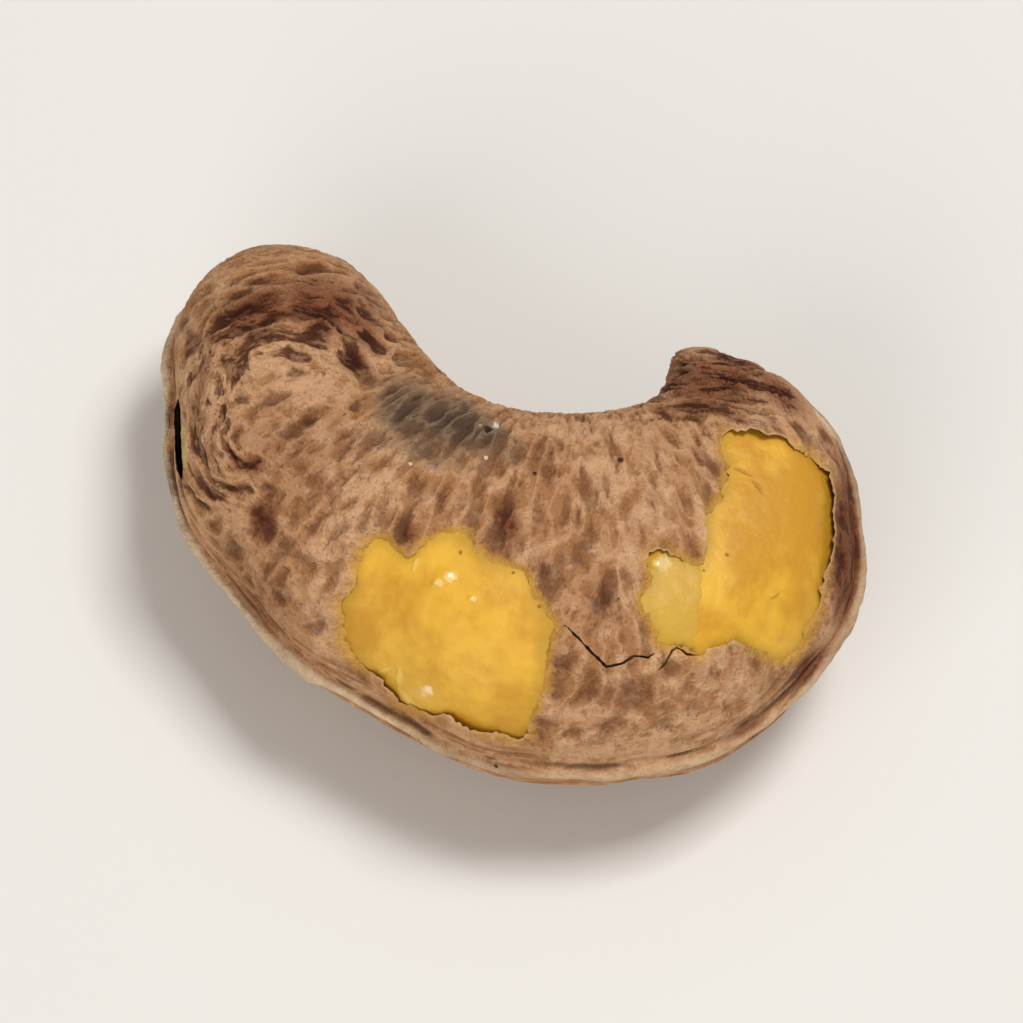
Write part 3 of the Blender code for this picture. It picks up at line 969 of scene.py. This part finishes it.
class CASHEW_OT_skin(bpy.types.Operator):
    """Build the torn skin with its seam ridge, wrinkles and curled edges"""

    bl_idname = "cashew.skin"
    bl_label = "Skin"

    def execute(self, context):
        look = context.scene.cashew_skin
        thickness = look.thickness / MM

        def relief(points, straight):
            return skin_relief(points, straight, look.wrinkles / MM)

        skin, straight, heights = nut_form("torn_skin", SKIN_GRID, 0.0, look.ridge / MM, relief)
        whole, outward = points_of(skin), vectors_of(skin, "normal")
        hollow, _, _ = nut_form("hollow", HOLLOW_GRID, thickness)
        subtract(skin, hollow)
        split = ragged(slit(SEAM_SPLIT, SEAM_SPLIT_WIDTH), 5, 0.02)
        openings = (
            (ragged(LEFT_WINDOW, 1), LEFT_WINDOW_FLOOR),
            (ragged(RIGHT_WINDOW, 2), RIGHT_WINDOW_FLOOR),
            (ragged(slit(CRACK, CRACK_WIDTH), 3, 0.03), LEFT_WINDOW_FLOOR),
            (ragged(slit(SHORT_CRACK, CRACK_WIDTH), 4, 0.02), RIGHT_WINDOW_FLOOR),
            (split, [(SEAM_SPLIT_HEIGHT - FACE_UP[2] * p[1]) / FACE_OUT[2] for p in split]),
        )
        for outline, floor in openings:
            cut_through(skin, outline, floor)

        points = points_of(skin)
        same = nearest_points(points, whole)
        straight, heights, outward = straight[same], heights[same], outward[same]
        full = thickness + heights[:, 0]
        under = np.clip(np.sum((whole[same] - points) * outward, axis=1) / full, 0, 1)

        face, front = on_face(points)
        torn = np.full(len(points), FAR_OFF)
        for outline, floor in openings[:2]:
            near, _ = distance_to(outline, face)
            torn = np.where(front > floor - 0.5, np.minimum(torn, near), torn)
        lifted = marks_at(face, LIFTED)
        curl = look.lift / MM * np.clip(grain(points, (0.7, 0.7, 0.7), 2, 6) + 0.6, 0.2, 1.2)
        sink = (full + SINK[0]) * (1 - under) + SINK[1] * under
        shift = lifted * curl * np.exp(-torn / CURL_REACH)
        shift -= (1 - lifted) * sink * np.exp(-torn / SINK_REACH)
        points += outward * shift[:, None]
        place_points(skin, points)

        lobe, streaks = lobe_place(points, face)
        ahead = outward @ FACE_OUT
        facing = np.clip((front + 3) / 2, 0, 1) * np.clip(ahead * 2.5 + 0.8, 0, 1)
        seam = np.where(straight[:, 1] > 0, np.abs(straight[:, 2]), FAR_OFF)
        crest = hump(straight[:, 2], ridge_width(straight[:, 0])) * np.clip(straight[:, 1] / 2.0, 0, 1)
        near, within = distance_to(split, face)
        store(
            skin, straight=straight, lobe=lobe, streaks=streaks * facing, crease=heights[:, 1],
            belly=band_at(straight), facing=facing, seam=seam, crest=crest, torn=torn, lifted=lifted,
            # the split's walls, which the material paints dark as shade
            inside=((near < 0.03) | within) * (under > 0.5) * 1.0,
            stain=marks_at(face, STAIN) * facing,
            # darker places, partly painted shadow
            dark=marks_at(face, DARK_AND_SHADOW_MARKS) * facing,
            # paler places, partly painted highlight
            pale=marks_at(face, PALE_AND_HIGHLIGHT_MARKS) * facing,
            # A painted sheen on the ridge at the hooked end.
            sheen=marks_at(face, PAINTED_SHEEN) * np.clip(ahead * 5 + 0.6, 0, 1) * np.clip(2.2 - seam, 0, 1),
            film=marks_at(face, SPLIT_FILM) * facing,
        )
        dress(skin, skin_material(look), "skin")
        return {"FINISHED"}


def dress(obj, material, node):
    """Smooth shading and a material for a finished piece, which stands for its node."""
    obj.data.materials.clear()
    obj.data.materials.append(material)
    select_only(obj)
    bpy.ops.object.shade_smooth_by_angle(angle=radians(50))
    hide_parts(node)
    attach(obj, "root")


class CASHEW_OT_kernel(bpy.types.Operator):
    """Build the kernel that shows through the torn windows"""

    bl_idname = "cashew.kernel"
    bl_label = "Kernel"

    def execute(self, context):
        look = context.scene.cashew_kernel

        def relief(points, straight):
            lumps, ripples = grain(points, (0.6, 0.6, 0.6), 2, 7), grain(points, (2, 2, 2), 2, 8)
            return (0.03 * lumps + 0.01 * ripples)[:, None]

        kernel, _, _ = nut_form("roasted_kernel", KERNEL_GRID, look.depth / MM, 0.0, relief)
        points = points_of(kernel)
        face, front = on_face(points)
        edge = np.full(len(points), -1.0)
        for outline, floor in ((LEFT_WINDOW, LEFT_WINDOW_FLOOR), (RIGHT_WINDOW, RIGHT_WINDOW_FLOOR)):
            near, inside = distance_to(outline, face)
            signed = np.where(inside, near, -near)
            edge = np.where(front > floor - 0.5, np.maximum(edge, signed), edge)
        # The kernel under the cracks and the split is painted dark, as shade in the gaps.
        slits = np.zeros(len(points))
        for path in (CRACK[1:-1], SHORT_CRACK[1:-1], SEAM_SPLIT):
            near, _ = distance_to((*path, *path[-2:0:-1]), face)
            slits = np.maximum(slits, hump(near, 0.3))
        store(
            # deeper roast, and painted shade along the bottom of the left window
            kernel, edge=edge - 0.35 * marks_at(face, FILM), deep=marks_at(face, ROAST_AND_SHADE_MARKS),
            tab=marks_at(face, (FLAP,)) * (face[:, 0] < FLAP_END),
            slits=slits * (edge < -0.1) * (front > -5),
        )
        dress(kernel, kernel_material(look), "kernel")
        return {"FINISHED"}


class CASHEW_OT_stage(bpy.types.Operator):
    """Lay the floor and set the lights and the camera"""

    bl_idname = "cashew.stage"
    bl_label = "Stage"

    def execute(self, context):
        look = context.scene.cashew_stage
        bpy.ops.object.select_all(action="DESELECT")
        bpy.ops.mesh.primitive_plane_add(size=1.6)
        floor = bpy.context.object
        floor.name = "floor"
        bench = Bench("floor")
        cloudy = bench.noise(bench.place, 14, 3)
        fine = bench.noise(bench.place, 900, 3)
        bench.colour = bench.mix(cloudy * 0.12, look.floor, FLOOR_SHADE)
        floor.data.materials.append(bench.finish(0.8, fine, 0.1, 0.05, {"Specular IOR Level": 0.3}))
        middle = Vector((0, 0, MIDDLE_HEIGHT * MM))
        add_light("key", middle, *KEY_LIGHT, look.key)
        add_light("fill", middle, *FILL_LIGHT, look.fill)
        add_sky(look.sky)
        add_camera(look.lens)
        return {"FINISHED"}


def add_light(name, target, place, size, power):
    """A square soft light that faces the nut."""
    bpy.ops.object.light_add(type="AREA", location=place)
    light = bpy.context.object
    light.name = name
    light.data.size = size
    light.data.energy = power
    light.rotation_euler = (target - light.location).to_track_quat("-Z", "Y").to_euler()


def add_sky(strength):
    world = bpy.data.worlds.new("studio")
    world.use_nodes = True
    background = world.node_tree.nodes["Background"]
    background.inputs["Color"].default_value = (*SKY_WHITE, 1)
    background.inputs["Strength"].default_value = strength
    bpy.context.scene.world = world


def add_camera(lens):
    """The camera, square to the face plane, as far off as its lens needs."""
    data = bpy.data.cameras.new("camera")
    data.lens = lens / MM
    data.sensor_width = SENSOR
    camera = bpy.data.objects.new("camera", data)
    bpy.context.scene.collection.objects.link(camera)
    away = FRAME_WIDTH * lens / MM / SENSOR
    place = FACE_RIGHT * NUT_MIDDLE[0] + FACE_UP * NUT_MIDDLE[1] + FACE_OUT * away
    camera.location = Vector(place * MM) + Vector((0, 0, MIDDLE_HEIGHT * MM))
    camera.rotation_euler = (FACE_LEAN, 0, FACE_TURN)
    data.clip_start = 0.01
    data.clip_end = 10
    bpy.context.scene.camera = camera


class CASHEW_PT_panel(bpy.types.Panel):
    """The buttons that build the nut and its stage"""

    bl_idname = "CASHEW_PT_panel"
    bl_label = "Roasted Cashew Nut"
    bl_space_type = "VIEW_3D"
    bl_region_type = "UI"
    bl_category = "Cashew"

    def draw(self, context):
        for group in SETTINGS:
            settings = getattr(context.scene, group)
            box = self.layout.box()
            for name in settings.__annotations__:
                box.prop(settings, name)
            box.operator(group.replace("_", "."))


# Each group of settings by its name in the scene. Its operator has the same name with a dot.
SETTINGS = {
    "cashew_skin": SkinSettings,
    "cashew_kernel": KernelSettings,
    "cashew_stage": StageSettings,
}
CLASSES = (*SETTINGS.values(), CASHEW_OT_skin, CASHEW_OT_kernel, CASHEW_OT_stage, CASHEW_PT_panel)


def register():
    for item in CLASSES:
        bpy.utils.register_class(item)
    for name, item in SETTINGS.items():
        setattr(bpy.types.Scene, name, bpy.props.PointerProperty(type=item))


def unregister():
    for name in SETTINGS:
        delattr(bpy.types.Scene, name)
    for item in reversed(CLASSES):
        bpy.utils.unregister_class(item)


def main():
    register()
    bpy.ops.cashew.skin()
    bpy.ops.cashew.kernel()
    bpy.ops.cashew.stage()
    bpy.context.scene.view_settings.view_transform = "Standard"


if __name__ == "__main__":
    main()
